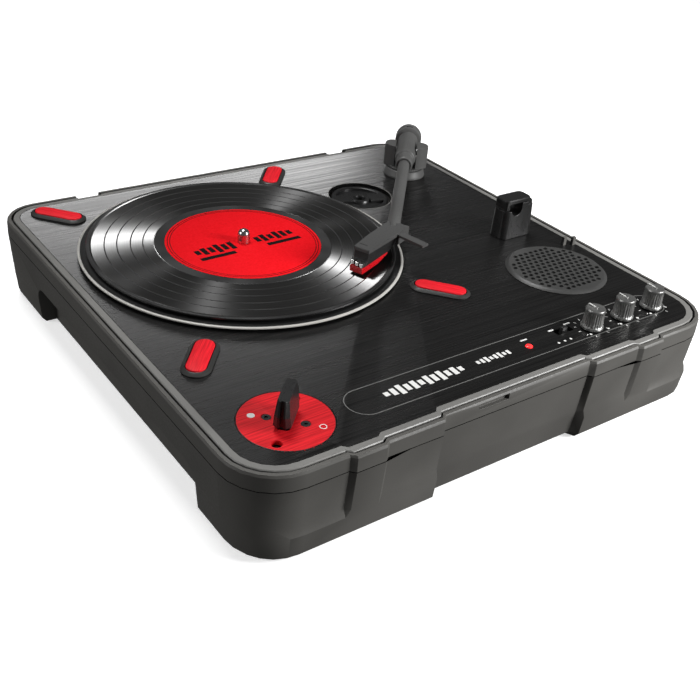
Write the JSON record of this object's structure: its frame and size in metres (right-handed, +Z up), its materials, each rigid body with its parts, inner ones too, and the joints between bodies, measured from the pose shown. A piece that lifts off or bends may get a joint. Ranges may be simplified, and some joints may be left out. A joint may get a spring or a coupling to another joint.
{
  "type": "suitcase record player",
  "caption": "Low portable record player with a platter and record, a tonearm on a swivel, a scratch lever, a speaker grille, control knobs, hand recesses in its sides and a battery bay below.",
  "frame": {"origin": "under the middle of the body, on the surface that the rubber feet stand on", "axes": "+X along the front edge to the right, +Y to the back, +Z up"},
  "size_m": [0.3, 0.298, 0.0744],
  "materials": {
    "shell_plastic": "fine satin grain",
    "deck_metal": "black, brushed along the front edge",
    "platter_metal": "turned and bright",
    "slipmat_felt": "thin black felt",
    "vinyl": "grooved black",
    "brass_metal": "turned",
    "black_plastic": "satin black",
    "motor_metal": "plain plated",
    "belt_rubber": "plain black",
    "red_metal": "red over brushed metal",
    "adapter_plastic": "moulded black",
    "speaker_cone": "dark basket and cone",
    "knob_grey": "moulded grey",
    "pot_metal": "plain pressed",
    "board": "green lacquer",
    "light_lens": "tinted lens",
    "arm_grey": "satin grey",
    "arm_metal": "satin grey",
    "cartridge_black": "moulded black",
    "stylus_red": "moulded red",
    "tip_metal": "polished",
    "foot_rubber": "plain black",
    "socket_metal": "plated"
  },
  "bodies": {
    "player": {"base_shell": "shell_plastic", "top_shell": "shell_plastic", "deck_frame": "shell_plastic", "deck_plate": "deck_metal", "spindle_bush": "brass_metal", "motor": "motor_metal", "drive_belt": "belt_rubber", "pad_bezel_front_left": "black_plastic", "pad_bezel_front_right": "black_plastic", "pad_bezel_back_left": "black_plastic", "pad_bezel_back_right": "black_plastic", "pad_insert_front_left": "red_metal", "pad_insert_front_right": "red_metal", "pad_insert_back_left": "red_metal", "pad_insert_back_right": "red_metal", "scratch_plate": "red_metal", "scratch_screw_left": "motor_metal", "scratch_screw_right": "motor_metal", "scratch_switch": "black_plastic", "speaker_grille": "black_plastic", "speaker_driver": "speaker_cone", "pot_volume": "pot_metal", "pot_tone": "pot_metal", "pot_pitch": "pot_metal", "control_board": "board", "status_light": "light_lens", "speed_switch": "black_plastic", "arm_base_ring": "arm_grey", "arm_rest": "knob_grey", "main_board": "board", "battery_tray": "black_plastic", "rubber_foot_front_left": "foot_rubber", "rubber_foot_front_right": "foot_rubber", "rubber_foot_back_left": "foot_rubber", "rubber_foot_back_right": "foot_rubber", "jack_panel": "black_plastic", "rca_sockets": "socket_metal", "phones_socket": "socket_metal"},
    "turntable": {"platter": "platter_metal", "slipmat": "slipmat_felt", "record": "vinyl", "spindle": "platter_metal", "drive_wheel": "black_plastic"},
    "pulley": {"motor_pulley": "brass_metal"},
    "arm_swivel": {"arm_yoke": "arm_grey"},
    "tonearm": {"arm_barrel": "arm_grey", "arm_tube": "arm_metal", "arm_weight": "arm_grey", "headshell": "arm_grey", "cartridge": "cartridge_black", "stylus_holder": "stylus_red", "stylus_tip": "tip_metal"},
    "rest_latch": {"arm_rest_latch": "black_plastic"},
    "scratch_lever": {"scratch_lever": "black_plastic"},
    "volume_knob": {"knob_volume": "knob_grey"},
    "tone_knob": {"knob_tone": "knob_grey"},
    "pitch_knob": {"knob_pitch": "knob_grey"},
    "speed_slider": {"speed_knob": "knob_grey"},
    "adapter": {"adapter_45": "adapter_plastic"},
    "battery_cover": {"battery_door": "black_plastic"}
  },
  "joints": [
    {"name": "platter_spin", "type": "hinge", "parent": "player", "child": "turntable", "pos_m": [-0.0453, 0.039, 0.0515], "axis": [0, 0, 1], "continuous": true},
    {"name": "pulley_spin", "type": "hinge", "parent": "player", "child": "pulley", "pos_m": [0.02, 0.088, 0.0387], "axis": [0, 0, 1], "continuous": true},
    {"name": "tonearm_swing", "type": "hinge", "parent": "player", "child": "arm_swivel", "pos_m": [0.1147, 0.093, 0.0548], "axis": [0, 0, 1], "range_deg": [-9, 32]},
    {"name": "tonearm_lift", "type": "hinge", "parent": "arm_swivel", "child": "tonearm", "pos_m": [0.1147, 0.093, 0.0653], "axis": [-0.7466, 0.6652, 0], "range_deg": [0, 12]},
    {"name": "rest_latch_hinge", "type": "hinge", "parent": "player", "child": "rest_latch", "pos_m": [0.124, -0.0138, 0.0702], "axis": [0, 1, 0], "range_deg": [0, 100]},
    {"name": "scratch_lever_rock", "type": "hinge", "parent": "player", "child": "scratch_lever", "pos_m": [-0.1122, -0.1125, 0.043], "axis": [0.7071, 0.7071, 0], "range_deg": [-12, 12], "stiffness_Nm_per_rad": 0.02},
    {"name": "volume_turn", "type": "hinge", "parent": "player", "child": "volume_knob", "pos_m": [0.0733, -0.1211, 0.049], "axis": [0, 0, 1], "range_deg": [-150, 150]},
    {"name": "tone_turn", "type": "hinge", "parent": "player", "child": "tone_knob", "pos_m": [0.0973, -0.1211, 0.049], "axis": [0, 0, 1], "range_deg": [-150, 150]},
    {"name": "pitch_turn", "type": "hinge", "parent": "player", "child": "pitch_knob", "pos_m": [0.1213, -0.1211, 0.049], "axis": [0, 0, 1], "range_deg": [-150, 150]},
    {"name": "speed_slide", "type": "slide", "parent": "player", "child": "speed_slider", "axis": [1, 0, 0], "range_m": [-0.003, 0.003]},
    {"name": "adapter_lift", "type": "slide", "parent": "player", "child": "adapter", "axis": [0, 0, 1], "range_m": [0, 0.02]},
    {"name": "battery_cover_hinge", "type": "hinge", "parent": "player", "child": "battery_cover", "pos_m": [-0.038, -0.0576, 0.0023], "axis": [1, 0, 0], "range_deg": [0, 90]}
  ],
  "couplings": [
    {"joint": "pulley_spin", "follows": "platter_spin", "ratio": 9}
  ]
}
